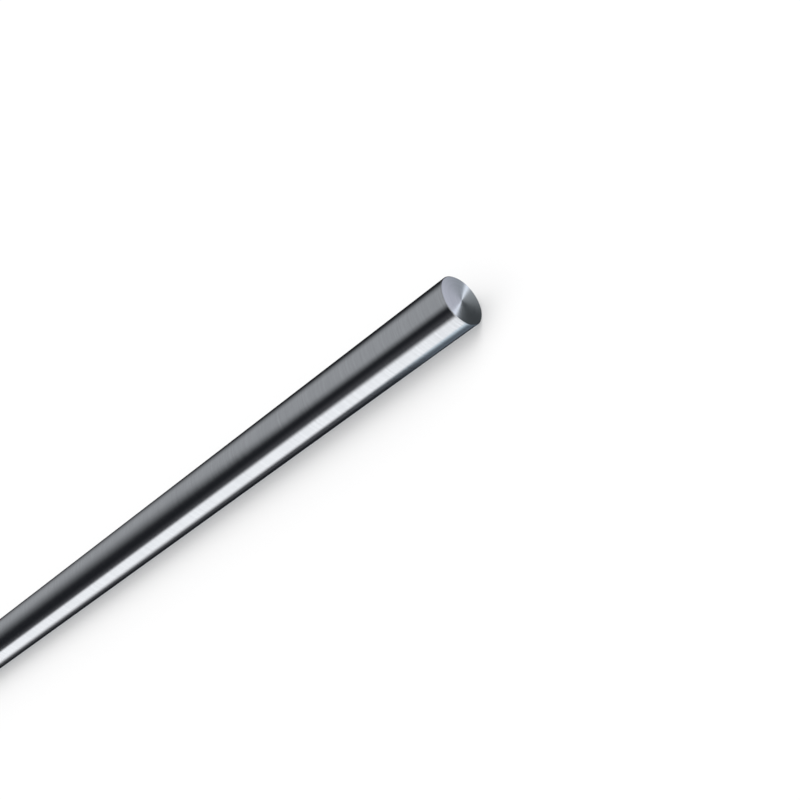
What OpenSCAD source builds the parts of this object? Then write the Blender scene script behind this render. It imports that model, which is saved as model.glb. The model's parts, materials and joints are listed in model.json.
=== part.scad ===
// Round metal bar: bright ground steel stock of one solid piece.
// The ground outside is a true cylinder. Both ends are faced square to it and chamfered.
// The bar lies along X, and the origin is on its axis, halfway along its length.
// Sizes are in millimetres.

/* [Bar] */
// Ground diameter of the bar
bar_d = 40; // [10:1:100]
// Length of the bar, from end face to end face
bar_length = 1000; // [100:10:3000]

/* [Ends] */
// Length of the chamfer along the bar, the same at both ends
chamfer_length = 0.6; // [0.2:0.1:2]
// Angle between the chamfer and the bar's axis, in degrees
chamfer_angle = 45; // [30:5:60]

/* [Hidden] */
// Sides of the round as drawn
$fn = 128;
bar_r = bar_d / 2;
half_length = bar_length / 2;
// How far the chamfer takes the edge in from the ground surface
chamfer_depth = chamfer_length * tan(chamfer_angle);
face_r = bar_r - chamfer_depth;
steel = [0.72, 0.74, 0.76];

// Half of the bar's lengthwise section: distance from the axis against place along the bar
module half_section() {
    polygon([
        [0, -half_length],
        [face_r, -half_length],
        [bar_r, -half_length + chamfer_length],
        [bar_r, half_length - chamfer_length],
        [face_r, half_length],
        [0, half_length]
    ]);
}

// The bar, turned from its section and laid along X
module round_bar() {
    color(steel)
        rotate([0, 90, 0])
            rotate_extrude()
                half_section();
}

round_bar();
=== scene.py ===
# %% [markdown]
# # Round metal bar
# The object is one bar of bright ground steel, 40 mm in diameter and a metre long.
# Its CAD model comes in as a fixed frame, which gives every size that is used here.
# Over it goes one finely made bar, with the marks that grinding and facing leave on steel.

# %% Load the frame
import json
import math

import bmesh
import bpy
from mathutils import Matrix, Vector


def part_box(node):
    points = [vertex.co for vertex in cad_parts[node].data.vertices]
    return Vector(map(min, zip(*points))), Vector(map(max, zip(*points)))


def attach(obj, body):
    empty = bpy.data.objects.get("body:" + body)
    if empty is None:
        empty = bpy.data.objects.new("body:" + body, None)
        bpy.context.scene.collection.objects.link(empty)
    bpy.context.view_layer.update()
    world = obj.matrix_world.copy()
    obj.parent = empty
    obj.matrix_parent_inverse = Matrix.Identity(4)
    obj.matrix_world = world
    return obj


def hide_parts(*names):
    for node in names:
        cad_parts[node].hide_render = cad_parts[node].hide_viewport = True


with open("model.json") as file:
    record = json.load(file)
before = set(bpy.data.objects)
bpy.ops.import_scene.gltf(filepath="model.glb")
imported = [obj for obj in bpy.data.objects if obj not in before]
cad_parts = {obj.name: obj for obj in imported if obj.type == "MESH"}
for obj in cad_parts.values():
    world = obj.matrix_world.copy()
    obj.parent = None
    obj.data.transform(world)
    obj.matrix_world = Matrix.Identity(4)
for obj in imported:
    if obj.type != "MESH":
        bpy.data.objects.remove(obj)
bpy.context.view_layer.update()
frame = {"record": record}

# %% [markdown]
# ## Sizes
# The record's mount on the ground surface holds the bar's true radius, and how long the cylinder is.
# What is left of the length at each end is the chamfer. The box alone would give a radius that is
# a little small, because the CAD mesh is drawn with few sides.

# %% Sizes from the record
MM = 0.001

mounts = frame["record"]["mounts"]
ground = next(mount["dims"] for mount in mounts if mount["name"] == "ground_surface")
bar_r = ground["r_mm"] * MM
half_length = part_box("round_bar")[1].x
chamfer = half_length - ground["length_mm"] * MM / 2
floor_z = -bar_r
print(f"radius {bar_r / MM:.1f} mm, length {2 * half_length / MM:.1f} mm, chamfer {chamfer / MM:.2f} mm")

# %% [markdown]
# ## The camera
# The camera comes first, because everything else is judged through it. It stands in front of the near
# end, above the bar and off to its side, so that the end face shows as a narrow ellipse and the bar
# runs away to the lower left. The view is also rolled, which is what tips the bar up across the
# picture. A camera can be moved by hand until the picture fits, but that seldom finds the right lens.
# So its place, aim, roll and lens were worked out from the bar's two outlines, the end face and the
# point where the outlines would meet.

# %% Camera
camera_place = Vector((0.925, -0.604, 0.425))
camera_aim = Vector((0.4376, -0.0517, 0.0))
camera_roll = 59.05
lens_mm = 55.2
sensor_mm = 36
nearest_seen = 0.01
farthest_seen = 50

camera_data = bpy.data.cameras.new("camera")
camera_data.lens = lens_mm
camera_data.sensor_width = sensor_mm
camera_data.clip_start = nearest_seen
camera_data.clip_end = farthest_seen
camera = bpy.data.objects.new("camera", camera_data)
bpy.context.collection.objects.link(camera)
level = (camera_aim - camera_place).to_track_quat("-Z", "Y").to_matrix().to_4x4()
roll = Matrix.Rotation(math.radians(-camera_roll), 4, "Z")
camera.matrix_world = Matrix.Translation(camera_place) @ level @ roll
bpy.context.scene.camera = camera
print("camera looks along", tuple(round(v, 3) for v in (camera_aim - camera_place).normalized()))

# %% [markdown]
# ## Shader maths in plain Python
# A material here is mostly arithmetic on the place of a point. Math nodes could be added one by one,
# but a formula is easier to read. So a small class wraps a node's output: Python's own operators
# on it add the Math nodes, and `add` makes any other node, with its settings first.

# %% A class for sockets
class Signal:
    """One output socket of a node tree. Arithmetic on it adds Math nodes."""

    def __init__(self, tree, socket=None):
        self.tree = tree
        self.socket = socket

    def add(self, kind, settings=None, inputs=None, out=0):
        """Adds a node and returns one of its outputs. Inputs are plain values or other signals."""
        node = self.tree.nodes.new(kind)
        for name, value in (settings or {}).items():
            setattr(node, name, value)
        for name, value in (inputs or {}).items():
            if isinstance(value, Signal):
                self.tree.links.new(value.socket, node.inputs[name])
            else:
                node.inputs[name].default_value = value
        return Signal(self.tree, node.outputs[out])

    def other(self, out):
        """Another output of the same node."""
        return Signal(self.tree, self.socket.node.outputs[out])

    def parts(self):
        """The three parts of a vector."""
        x = self.add("ShaderNodeSeparateXYZ", inputs={0: self})
        return x, x.other("Y"), x.other("Z")

    def maths(self, operation, *values):
        """A Math node on these values."""
        return self.add("ShaderNodeMath", {"operation": operation}, dict(enumerate(values)))

    def vector(self, operation, *values):
        """A Vector Math node on these vectors."""
        return self.add("ShaderNodeVectorMath", {"operation": operation}, dict(enumerate(values)))

    def scaled(self, factor):
        """The vector times one number."""
        return self.add("ShaderNodeVectorMath", {"operation": "SCALE"}, {0: self, "Scale": factor})

    def __add__(self, other):
        return self.maths("ADD", self, other)

    def __radd__(self, other):
        return self.maths("ADD", other, self)

    def __sub__(self, other):
        return self.maths("SUBTRACT", self, other)

    def __rsub__(self, other):
        return self.maths("SUBTRACT", other, self)

    def __mul__(self, other):
        return self.maths("MULTIPLY", self, other)

    def __rmul__(self, other):
        return self.maths("MULTIPLY", other, self)

    def __truediv__(self, other):
        return self.maths("DIVIDE", self, other)

    def ramp_between(self, start, end):
        """0 below start, 1 above end, and a smooth rise between them."""
        inputs = {"Value": self, "From Min": start, "From Max": end}
        return self.add("ShaderNodeMapRange", {"interpolation_type": "SMOOTHSTEP"}, inputs)


print("a signal can", ", ".join(name for name in vars(Signal) if not name.startswith("__")))

# %% Colours and materials
def colour_mix(factor, first, second):
    """A Mix node on two colours, by a factor from 0 to 1."""
    return factor.add("ShaderNodeMix", {"data_type": "RGBA"}, {0: factor, 6: first, 7: second}, out=2)


def blank_material(name):
    """A new material, and its Principled shader's node."""
    made = bpy.data.materials.new(name)
    made.use_nodes = True
    shader = made.node_tree.nodes["Principled BSDF"]
    return made, shader


def feed(shader, socket, signal):
    """Links a signal to a shader's socket."""
    signal.tree.links.new(signal.socket, shader.inputs[socket])


print("colours, materials and links ready")

# %% [markdown]
# ## The bar
# The real bar is turned or drawn, then ground without centres until it is round to a few microns, and
# its ends are faced and chamfered on a lathe. A section could be spun round the axis, but a cylinder
# is round already, and a bevel makes each chamfer from its one size, so that is the way taken. The
# cylinder has enough sides to look round in a close view. A second, tiny bevel takes off the sharpness,
# because no real edge is perfectly sharp, and that is what gives a chamfer its thin bright line.
#
# Flat shading would show the sides, so the bar is shaded smooth. Smooth shading leans
# towards the bevels at its last points, so one more cut close to each end keeps that off the long faces.
# Other cuts part the long faces into five lengths. They don't show, and the flat map needs them.

# %% Helpers for edit mode
def start_editing(piece):
    """Selects only this piece and goes into edit mode."""
    bpy.ops.object.select_all(action="DESELECT")
    piece.select_set(True)
    bpy.context.view_layer.objects.active = piece
    bpy.ops.object.mode_set(mode="EDIT")


def pick(piece, kind, wanted):
    """In edit mode, selects just the edges or faces for which wanted holds, and counts them."""
    bpy.ops.mesh.select_mode(type=kind)
    bpy.ops.mesh.select_all(action="DESELECT")
    mesh = bmesh.from_edit_mesh(piece.data)
    found = [e for e in (mesh.edges if kind == "EDGE" else mesh.faces) if wanted(e)]
    for element in found:
        element.select_set(True)
    bmesh.update_edit_mesh(piece.data)
    return len(found)


print("edit helpers ready")

# %% The blank
sides = 256

bpy.ops.object.select_all(action="DESELECT")
bpy.ops.mesh.primitive_cylinder_add(
    vertices=sides, radius=bar_r, depth=2 * half_length, end_fill_type="NGON",
    location=(0, 0, 0), rotation=(0, math.pi / 2, 0),
)
bar = bpy.context.object
bar.name = "ground_round_bar"
bar.data.name = "ground_round_bar"
bpy.ops.object.transform_apply(location=False, rotation=True, scale=False)
print("blank with", len(bar.data.polygons), "faces")

# %% Chamfers and cuts
edge_break = 0.05 * MM
hold = 0.3 * MM  # how far the cut that holds the shading lies from the end of the ground outside
hair = 0.001 * MM  # places closer than this count as one
lengths = 5


def on_a_rim(edge):
    """True for the edges that run round the bar at or near its ends."""
    a, b = (v.co for v in edge.verts)
    return abs(a.x - b.x) < hair and abs(a.x) > half_length - chamfer - hair


start_editing(bar)
rims = pick(bar, "EDGE", on_a_rim)
bpy.ops.mesh.bevel(offset=chamfer, offset_type="OFFSET", segments=1, affect="EDGES")
edges = pick(bar, "EDGE", on_a_rim)
bpy.ops.mesh.bevel(offset=edge_break, offset_type="OFFSET", segments=3, affect="EDGES")

ground_end = half_length - chamfer - edge_break
joins = [2 * half_length * (i / lengths - 0.5) for i in range(1, lengths)]
for cut_x in [hold - ground_end, *joins, ground_end - hold]:
    bpy.ops.mesh.select_all(action="SELECT")
    bpy.ops.mesh.bisect(plane_co=(cut_x, 0, 0), plane_no=(1, 0, 0))
bpy.ops.object.mode_set(mode="OBJECT")
print(f"chamfered {rims} rim edges, then broke {edges} edges:", len(bar.data.polygons), "faces")

# %% [markdown]
# ## The faced ends
# A facing tool moves a little towards the centre at each turn and leaves a shallow groove in rings.
# The grooves are only a few microns deep, yet they decide how an end face catches the light. A bump
# pattern could draw them, but real slopes still look right from close by and at a low angle. So
# insets make them as shape: each ring is one wide slope down and one narrow slope back up. At the
# centre the tool leaves a small pip, which closes the face.

# %% Facing marks
feed_step = 0.4 * MM
groove = 0.004 * MM
wide_share = 0.75
rim_flat = 0.1 * MM
pip_r = 0.5 * MM
pip_height = 0.02 * MM
smooth_below = 30


def is_end_face(face):
    """True for the big flat face at each end, the only kind with a corner for each side."""
    return len(face.verts) == sides


start_editing(bar)
ends = pick(bar, "FACE", is_end_face)
bpy.ops.mesh.inset(thickness=rim_flat, depth=0, use_even_offset=True)
ring_r = bar_r - chamfer - edge_break - rim_flat
marks = int((ring_r - pip_r) / feed_step)
for mark in range(marks):
    bpy.ops.mesh.inset(thickness=feed_step * wide_share, depth=-groove, use_even_offset=True)
    bpy.ops.mesh.inset(thickness=feed_step * (1 - wide_share), depth=groove, use_even_offset=True)
bpy.ops.mesh.inset(thickness=pip_height, depth=-pip_height, use_even_offset=True)
bpy.ops.mesh.poke(offset=pip_height / 2)
bpy.ops.mesh.select_all(action="SELECT")
bpy.ops.mesh.remove_doubles(threshold=hair / 10)
bpy.ops.mesh.normals_make_consistent(inside=False)
bpy.ops.object.mode_set(mode="OBJECT")
bpy.ops.object.shade_smooth_by_angle(angle=math.radians(smooth_below))
print(f"{marks} facing marks on each of {ends} ends:", len(bar.data.polygons), "faces")

# %% [markdown]
# ## Three finishes on one bar
# The cylinder is ground, the ends are faced, and the chamfers are a quick cut with another tool. Each
# is the same steel, but each reflects in its own way, so each gets a material. The finest marks are
# too many to model, so they tilt the normal instead. Along the bar they are lines that run round it,
# so their noise changes fast along the axis and slowly across it. Pictures of real steel could do
# this too, but noise on the bar's own coordinates has no seam and stays sharp at any distance.

# %% Places, noise and tilted normals
steel_colour = (0.72, 0.74, 0.76, 1)
darker_steel = (0.64, 0.66, 0.68, 1)
lighter_steel = (0.80, 0.82, 0.84, 1)


def place_in_mm(tree):
    """The place on the bar in millimetres."""
    return Signal(tree).add("ShaderNodeTexCoord", out="Object").scaled(1 / MM)


def noise(place, stretch, detail=2.0, roughness=0.5):
    """Soft noise from -1 to 1. Stretch is how many spots there are in a millimetre along each axis."""
    spots = place.vector("MULTIPLY", place, stretch)
    settings = {"noise_dimensions": "3D"}
    inputs = {"Vector": spots, "Scale": 1.0, "Detail": detail, "Roughness": roughness}
    return place.add("ShaderNodeTexNoise", settings, inputs) * 2 - 1


def tilted_normal(along, slope):
    """The surface's normal, leaning by slope along a direction."""
    facing = along.add("ShaderNodeNewGeometry", out="Normal")
    leaning = along.vector("ADD", facing, along.scaled(slope))
    return along.vector("NORMALIZE", leaning)


print("steel from", darker_steel[:3], "to", lighter_steel[:3])

# %% Ground steel
lay_slope = 0.05
streak_slope = 0.010
wave_slope = 0.003
ground_roughness = 0.16
streak_roughness = 0.02
haze_roughness = 0.015
turned_contrast = 0.8
cloud_contrast = 0.25


def ground_steel():
    """Bright steel with the fine lines that a grinding wheel leaves round a bar."""
    made, shader = blank_material("ground_steel")
    place = place_in_mm(made.node_tree)
    lay = noise(place, stretch=(7.0, 0.12, 0.12), detail=3)
    streaks = noise(place, stretch=(0.9, 0.03, 0.03))
    wave = noise(place, stretch=(0.04, 0.02, 0.02), detail=1)
    slope = lay * lay_slope + streaks * streak_slope + wave * wave_slope
    axis = place.add("ShaderNodeCombineXYZ", inputs={0: 1.0})
    feed(shader, "Normal", tilted_normal(axis, slope))

    haze = noise(place, stretch=(0.012, 0.05, 0.05), detail=3)
    roughness = ground_roughness + streak_roughness * streaks + haze_roughness * haze
    feed(shader, "Roughness", roughness)

    turned = noise(place, stretch=(0.8, 0.015, 0.015), detail=4, roughness=0.8)
    cloud = noise(place, stretch=(0.03, 0.06, 0.06), detail=3)
    tone = 0.5 + turned_contrast * turned + cloud_contrast * cloud
    feed(shader, "Base Color", colour_mix(tone, darker_steel, lighter_steel))
    shader.inputs["Metallic"].default_value = 1.0
    return made


print("ground steel ready, roughness about", ground_roughness)

# %% Faced steel
rings_in_mm = 9.0
centre_lean = 0.055
rim_lean = 0.080
ring_slope = 0.10
faced_roughness = 0.09
ring_roughness = 0.01
ring_contrast = 0.9
ends_apart = 0.01


def faced_steel():
    """An end face: rings too fine to see one by one, which fan the light out from the centre."""
    made, shader = blank_material("faced_steel")
    x, y, z = place_in_mm(made.node_tree).parts()
    square = y * y + z * z
    radius = square.maths("SQRT", square)
    outward = radius.add("ShaderNodeCombineXYZ", inputs={0: 0.0, 1: y / radius, 2: z / radius})
    rings = radius.add("ShaderNodeCombineXYZ", inputs={0: x * ends_apart, 1: radius * rings_in_mm})
    fine = noise(rings, stretch=(1.0, 1.0, 1.0))
    lean = centre_lean + (rim_lean - centre_lean) * (radius / (bar_r / MM))
    feed(shader, "Normal", tilted_normal(outward, lean + fine * ring_slope))

    dull_rings = noise(rings, stretch=(0.1, 0.1, 0.1))
    feed(shader, "Roughness", faced_roughness + ring_roughness * dull_rings)

    ring_tone = noise(rings, stretch=(0.05, 0.05, 0.05), detail=5, roughness=0.8)
    tone = 0.5 + ring_contrast * ring_tone
    feed(shader, "Base Color", colour_mix(tone, darker_steel, lighter_steel))
    shader.inputs["Metallic"].default_value = 1.0
    return made


print("faced steel ready, roughness about", faced_roughness)

# %% Chamfered steel
cut_slope = 0.06
chamfer_roughness = 0.24
cut_roughness = 0.04


def chamfered_steel():
    """The chamfer: a coarser turned cut, a little duller than the rest."""
    made, shader = blank_material("chamfered_steel")
    place = place_in_mm(made.node_tree)
    cut = noise(place, stretch=(12.0, 0.2, 0.2))
    axis = place.add("ShaderNodeCombineXYZ", inputs={0: 1.0})
    feed(shader, "Normal", tilted_normal(axis, cut * cut_slope))
    feed(shader, "Roughness", chamfer_roughness + cut_roughness * cut)
    shader.inputs["Metallic"].default_value = 1.0
    shader.inputs["Base Color"].default_value = steel_colour
    return made


print("chamfered steel ready, roughness about", chamfer_roughness)

# %% [markdown]
# ## Each finish on its own faces
# On the lathe each cut has its own place, so place tells the faces apart here too. A face that looks
# along the axis was faced, and so was all that lies within the rings, such as the pip's steep side.
# What else lies beyond the ground cylinder is chamfer. Faces could be picked by hand, but a rule still
# holds when the number of sides or rings changes.

# %% Finishes
GROUND, FACED, CHAMFERED = range(3)  # the order in which the materials go on
looks_endways = 0.9

for finish in (ground_steel(), faced_steel(), chamfered_steel()):
    bar.data.materials.append(finish)


def finish_of(face):
    """Which of the three finishes a face has."""
    if abs(face.normal.x) > looks_endways or math.hypot(face.center.y, face.center.z) < ring_r:
        return FACED
    return CHAMFERED if abs(face.center.x) > ground_end else GROUND


counts = [0, 0, 0]
for face in bar.data.polygons:
    face.material_index = finish_of(face)
    counts[face.material_index] += 1
print("faces: ground {}, faced {}, chamfered {}".format(*counts))

# %% [markdown]
# ## The bar laid out flat
# For the finishes to be turned into pictures, each face needs its place on a flat sheet. Blender can lay
# a mesh out by itself, but the ends would then be small, with their rings cut up. So the sheet is
# laid out here: the ground outside is unrolled in five lengths side by side, above them lie the
# two chamfers as narrow strips, and above those the two ends, much larger than the rest because
# their rings are so fine.

# %% Layout of the sheet
margin = 0.005
column = 1 / lengths
column_height = 0.59
strip_width = 1 - 4 * margin
strip_height = 0.008
strip_rows = {-1: 0.611, 1: 0.621}
end_spots = {-1: (0.25, 0.818), 1: (0.75, 0.818)}
end_scale = 0.174 / bar_r
length_scale = column_height * lengths / (2 * half_length)
print(f"the ends are drawn {end_scale / length_scale:.1f} times as large as the ground outside")

# %% Where each kind of face lies
def share_round(point):
    """How far a point lies round the bar, from 0 to 1."""
    return math.atan2(point.z, point.y) / (2 * math.pi) + 0.5


def share_along(point):
    """How far a point lies along the bar, from 0 to 1."""
    return point.x / (2 * half_length) + 0.5


def flat_place(face, corner):
    """Where a corner of a face lies on the flat sheet."""
    end = 1 if face.center.x > 0 else -1
    if face.material_index == FACED:
        across, up = end_spots[end]
        return across + end * corner.y * end_scale, up + corner.z * end_scale
    # a corner on the seam counts as 0 or as 1, whichever is on its own face's side
    turned = share_round(corner)
    turned -= round(turned - share_round(face.center))
    if face.material_index == CHAMFERED:
        inwards = bar_r - math.hypot(corner.y, corner.z)
        outwards = abs(corner.x) - ground_end
        share = (inwards + outwards) / (2 * (chamfer + edge_break))
        return 2 * margin + strip_width * turned, strip_rows[end] + end * strip_height * share
    length = int(share_along(face.center) * lengths)
    up = share_along(corner) * lengths - length
    return margin + length * column + (column - 2 * margin) * turned, margin + column_height * up


flat_map = bar.data.uv_layers.new(name="OFBake")
points = bar.data.vertices
for face in bar.data.polygons:
    for loop in face.loop_indices:
        corner = points[bar.data.loops[loop].vertex_index].co
        flat_map.data[loop].uv = flat_place(face, corner)
print("flat map of", len(flat_map.data), "corners")

# %% [markdown]
# ## The bar in the frame
# The finished bar takes the place of the CAD one. It rides on the frame's only body, because a bar has
# no moving piece.

# %% Put the bar in the frame
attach(bar, "root")
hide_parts("round_bar")
print(bar.name, "stands for round_bar")

# %% [markdown]
# ## Floor and soft light
# The floor is plain paper, nearly white. Most of its light comes evenly from the white round it, so
# the bar leaves only a soft shadow, darkest right beside it, and a faint glow of the paper's own keeps
# that shadow light. A lamp near the bar would draw a hard shadow, so there is only one broad, weak
# sun, which gives the shadow a side.

# %% Floor
floor_half = 40.0
floor_white = 0.64
floor_glow = 0.27

bpy.ops.mesh.primitive_plane_add(size=2 * floor_half, location=(0, 0, floor_z))
floor = bpy.context.object
floor.name = "floor"
floor_material, floor_shader = blank_material("floor_paper")
floor_shader.inputs["Base Color"].default_value = (floor_white, floor_white, floor_white, 1)
floor_shader.inputs["Roughness"].default_value = 1.0
floor_shader.inputs["Specular IOR Level"].default_value = 0.0
floor_shader.inputs["Emission Color"].default_value = (floor_glow, floor_glow, floor_glow, 1)
floor_shader.inputs["Emission Strength"].default_value = 1.0
floor.data.materials.append(floor_material)
floor.visible_glossy = False
print("floor at", floor_z)

# %% Sun
sun_strength = 0.7
sun_width = 60
sun_tilt = -20

sun_data = bpy.data.lights.new("soft_sun", "SUN")
sun_data.energy = sun_strength
sun_data.angle = math.radians(sun_width)
sun = bpy.data.objects.new("soft_sun", sun_data)
bpy.context.collection.objects.link(sun)
sun.rotation_euler = (math.radians(sun_tilt), 0, 0)
sun.visible_glossy = False
print(f"sun {sun_width} degrees wide, tilted by {sun_tilt}")

# %% [markdown]
# ## Cards for the steel to reflect
# Bright steel has no colour of its own to show: it shows what is round it. A photographer therefore
# lights a bar with long cards that run beside it, and each card becomes one band along the steel. The
# main two are a grey one overhead and a white one low down in front, with darkness between them.
#
# Cards could be glowing planes, but a plane has hard edges and gets in the way of other views. So the
# world's colour holds them: how far a direction is turned round the bar says which card it meets.
# They have soft edges, and they stand a little askew to the bar, so each edge has one angle at
# the near end and another one further along.

# %% Directions in the world
way_x_near_end = -0.53
way_x_frame_edge = -0.74

world = bpy.data.worlds.new("light_tent")
world.use_nodes = True
bpy.context.scene.world = world
backdrop = world.node_tree.nodes["Background"]
start = Signal(world.node_tree)

way = start.add("ShaderNodeTexCoord", out="Generated")
way_x, way_y, way_z = way.parts()
turn = start.maths("ARCTAN2", 0 - way_y, way_z) * (180 / math.pi)
shown_bar = {"Value": way_x, "From Min": way_x_near_end, "From Max": way_x_frame_edge}
far_share = way_x.add("ShaderNodeMapRange", inputs=shown_bar)
along = far_share * far_share
print("turn: degrees from straight up towards the camera's side")

# %% The two main cards
def edge(near, far):
    """The angle of a card's edge: near is at the near end of the bar, and far is further along."""
    return along * (far - near) + near


def card(rise, fall):
    """How much of a card there is in a direction. Each side fades over a pair of edges."""
    return turn.ramp_between(*rise) - turn.ramp_between(*fall)


grey_card = card(
    rise=(edge(-86, -108), edge(-37, -48)),
    fall=(edge(18.5, -36), edge(51, 41.3)),
)
white_card = card(
    rise=(edge(80, 84.8), edge(101.2, 98)),
    fall=(edge(139, 136), edge(158, 169.5)),
)
dim_card = turn.ramp_between(edge(54, 61), edge(82, 87))
print("grey and white cards ready, and a dim one from between them downwards")

# %% [markdown]
# ## Smaller cards
# A few more cards mend what the main two leave plain. Beside the near end a pale blue one and a slate
# one close the lower side, where the bar turns cool and dark. The white card gets a gap, so that
# the far end doesn't mirror one blank patch. A pale card behind gives the bar a bright line in views
# from the back. From the camera the steel shows it only at a grazing angle, along the lower outline.

# %% Smaller cards
gap_depth = 0.68
gap_start = (-0.468, -0.42)
gap_end = (-0.36, -0.30)
near_end_start = (-0.556, -0.538)

gap = way_x.ramp_between(*gap_start) - way_x.ramp_between(*gap_end)
white_card = white_card * (1 - gap_depth * gap)
beside_near_end = way_x.ramp_between(*near_end_start)
under_card = turn.maths("ABSOLUTE", turn).ramp_between(152, 168) * beside_near_end
blue_card = card(rise=(138, 150), fall=(140, 171)) * beside_near_end
rear_card = card(rise=(-144, -134), fall=(-124, -114))
print("a gap in the white card, and cards under, below and behind the bar")

# %% Card colours
darkness = (0.014, 0.015, 0.018, 1)
grey = (0.365, 0.372, 0.385, 1)
dim = (0.070, 0.070, 0.076, 1)
white = (1.15, 1.15, 1.17, 1)
pale_blue = (0.80, 0.96, 1.08, 1)
rear_grey = (0.66, 0.68, 0.72, 1)
slate = (0.125, 0.150, 0.180, 1)

unlit = colour_mix(dim_card - white_card, darkness, dim)
cards = colour_mix(grey_card, unlit, grey)
layers = ((under_card, slate), (white_card, white), (blue_card, pale_blue), (rear_card, rear_grey))
for share, colour in layers:
    cards = colour_mix(share, cards, colour)
print("cards round the bar ready:", 2 + len(layers), "tones over darkness")

# %% [markdown]
# ## Cards for the near end
# The near end looks another way than the ground surface does, so it gets cards of its own: a pale one
# and a dark one, with a narrow strip light along the seam between them. The turned marks of a faced
# end spread that strip into two bright fans that meet at the centre. The fans could be painted on the
# end, but then they would stay put when the view turns, and real ones swing round.

# %% Directions near the end's own reflection
sight = (Vector((half_length, 0, 0)) - camera_place).normalized()
end_way = Vector((-sight.x, sight.y, sight.z))


def reach(direction):
    """How far a direction in the world goes along this one."""
    return way.vector("DOT_PRODUCT", way, tuple(direction)).other("Value")


def beyond(degrees):
    """How far a direction lies past the flat end's own reflection, towards this angle round the end."""
    towards = Vector((0, math.cos(math.radians(degrees)), math.sin(math.radians(degrees))))
    return reach(towards) - end_way.dot(towards)


print("the near end reflects", tuple(round(v, 3) for v in end_way))

# %% The cards for the near end
seam_angle = 73
seam_shift = 0.003
seam_blur = 0.01
dark_angle = 55
dark_fade = (-0.10, 0.01)
dark_tones = ((0.052, 0.057, 0.061, 1), (0.30, 0.32, 0.335, 1))
pale_angle = 123
pale_fade = (-0.11, 0.25)
pale_tones = ((0.28, 0.305, 0.335, 1), (0.69, 0.69, 0.79, 1))
strip_reach = 0.020
strip_light = (0.76, 0.80, 0.88)
whole_within = 28
gone_beyond = 34

side = beyond(seam_angle) - seam_shift
dark_card = colour_mix(beyond(dark_angle).ramp_between(*dark_fade), *dark_tones)
pale_card = colour_mix(beyond(pale_angle).ramp_between(*pale_fade), *pale_tones)
end_cards = colour_mix(side.ramp_between(-seam_blur, seam_blur), dark_card, pale_card)
strip = 1 - side.maths("ABSOLUTE", side).ramp_between(0.0, strip_reach)
end_cards = end_cards.vector("ADD", end_cards, strip.vector("MULTIPLY", strip, strip_light))
cosines = [math.cos(math.radians(angle)) for angle in (gone_beyond, whole_within)]
near_end = reach(end_way).ramp_between(*cosines)
print(f"end cards whole within {whole_within} degrees, gone beyond {gone_beyond}")

# %% [markdown]
# ## Slats for every other view
# Seen from elsewhere, a flat end would mirror one even patch of a card and look blank. So on the near
# end's side there are slats, in rings round the bar's axis. The end finds light edges and dark ones
# among them, and its turned marks draw those out into fans. Along the axis itself all the cards would
# meet in a hard point, so past both ends they give way to paler slats.

# %% Slats
slat_pitch = 16
slat_sharpness = 3.0
slat_contrast = 0.5
pale_share = 0.65
between_slats = (0.40, 0.41, 0.43, 1)
slat_pale = (0.95, 0.96, 1.0, 1)
end_side_start = (0.15, 0.35)
near_past = (0.72, 0.95)
far_past = (0.90, 0.97)


def slats(cosine):
    """Soft bright rings round the axis, from 0 to 1. Cosine is a direction's share along the axis."""
    phase = cosine.maths("ARCCOSINE", cosine) * (360 / slat_pitch)
    wave = phase.maths("COSINE", phase) * 0.5 + 0.5
    return wave.maths("POWER", wave, slat_sharpness)


bright_rings = slats(way_x)
end_side = way_x.ramp_between(*end_side_start)
surround = cards.scaled(1 + end_side * (bright_rings * slat_contrast - slat_contrast / 2))
past_the_ends = way_x.ramp_between(*near_past) + (0 - way_x).ramp_between(*far_past)
pale_slats = colour_mix(bright_rings, between_slats, slat_pale)
surround = colour_mix(past_the_ends * pale_share, surround, pale_slats)
reflected = colour_mix(near_end, surround, end_cards)
print(f"slats every {slat_pitch} degrees")

# %% [markdown]
# ## What each kind of ray sees
# The cards are there only for the steel to reflect. The camera sees plain white past the floor, and the
# floor is lit by the same plain white, as in a product picture. A second set of lamps could do
# that, but a Light Path node tells the kinds of ray apart, so one world serves them all.

# %% Plain white, or the cards
background = (0.99, 0.99, 0.99, 1)

rays = start.add("ShaderNodeLightPath", out="Is Camera Ray")
plain = rays.maths("MAXIMUM", rays, rays.other("Is Diffuse Ray"))
feed(backdrop, "Color", colour_mix(plain, reflected, background))
backdrop.inputs["Strength"].default_value = 1.0

bpy.context.scene.view_settings.view_transform = "Standard"
print("world ready, with", len(world.node_tree.nodes), "nodes")

# %% [markdown]
# ## The size
# The finished bar has to fill the same box as its CAD model, which stays in the scene, hidden.
